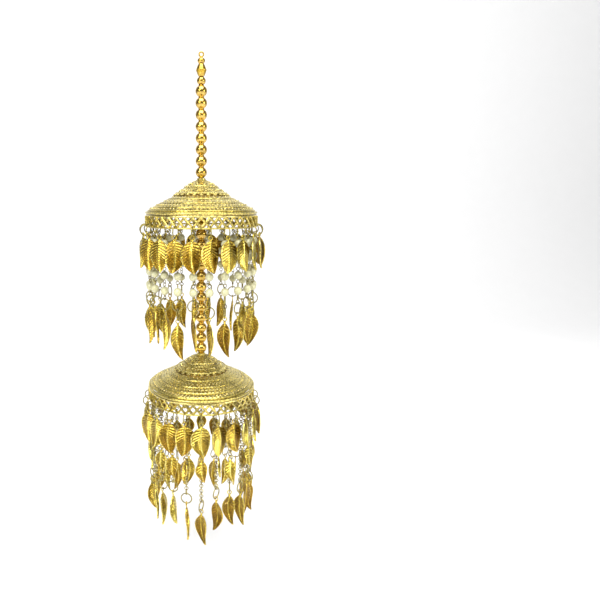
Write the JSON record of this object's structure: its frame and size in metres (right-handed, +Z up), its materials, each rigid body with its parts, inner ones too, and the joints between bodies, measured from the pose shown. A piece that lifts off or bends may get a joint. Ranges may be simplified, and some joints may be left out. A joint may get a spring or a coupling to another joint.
{
  "type": "kalire bridal ornament",
  "caption": "Hanging bridal bangle ornament: a beaded stem with two pierced domes, fringed with stamped leaves, pearl strings and fine chains.",
  "frame": {"origin": "centre of the hang loop at the top of the stem, where the ornament is tied on", "axes": "+Z up along the stem; -Y is the front"},
  "size_m": [0.0639, 0.0649, 0.244],
  "materials": {
    "pale_gold": "bright plated, stamped and pierced",
    "leaf_gold": "bright plated, stamped",
    "bead_gold": "polished",
    "wire_gold": "drawn, darker",
    "chain_gold": "bright plated",
    "pearl": "pearly"
  },
  "bodies": {
    "root": {"bicone_bead": "bead_gold", "end_bead": "bead_gold", "lower_cap": "pale_gold", "lower_dome": "pale_gold", "lower_drops": "leaf_gold", "lower_leaves_01": "leaf_gold", "lower_leaves_02": "leaf_gold", "lower_leaves_03": "leaf_gold", "lower_leaves_04": "leaf_gold", "lower_leaves_05": "leaf_gold", "lower_leaves_06": "leaf_gold", "lower_leaves_07": "leaf_gold", "lower_leaves_08": "leaf_gold", "lower_leaves_09": "leaf_gold", "lower_leaves_10": "leaf_gold", "lower_leaves_11": "leaf_gold", "lower_string_01": "chain_gold", "lower_string_02": "chain_gold", "lower_string_03": "chain_gold", "lower_string_04": "chain_gold", "lower_string_05": "chain_gold", "lower_string_06": "chain_gold", "lower_string_07": "chain_gold", "lower_string_08": "chain_gold", "lower_string_09": "chain_gold", "lower_string_10": "chain_gold", "lower_string_11": "chain_gold", "middle_beads": "bead_gold", "small_bead": "bead_gold", "stem_wire": "wire_gold", "top_beads": "bead_gold", "upper_cap": "pale_gold", "upper_dome": "pale_gold", "upper_drops": "leaf_gold", "upper_leaves_01": "leaf_gold", "upper_leaves_02": "leaf_gold", "upper_leaves_03": "leaf_gold", "upper_leaves_04": "leaf_gold", "upper_leaves_05": "leaf_gold", "upper_leaves_06": "leaf_gold", "upper_leaves_07": "leaf_gold", "upper_leaves_08": "leaf_gold", "upper_leaves_09": "leaf_gold", "upper_leaves_10": "leaf_gold", "upper_leaves_11": "leaf_gold", "upper_string_01": "pearl", "upper_string_02": "pearl", "upper_string_03": "pearl", "upper_string_04": "pearl", "upper_string_05": "pearl", "upper_string_06": "pearl", "upper_string_07": "pearl", "upper_string_08": "pearl", "upper_string_09": "pearl", "upper_string_10": "pearl", "upper_string_11": "pearl"}
  },
  "joints": []
}
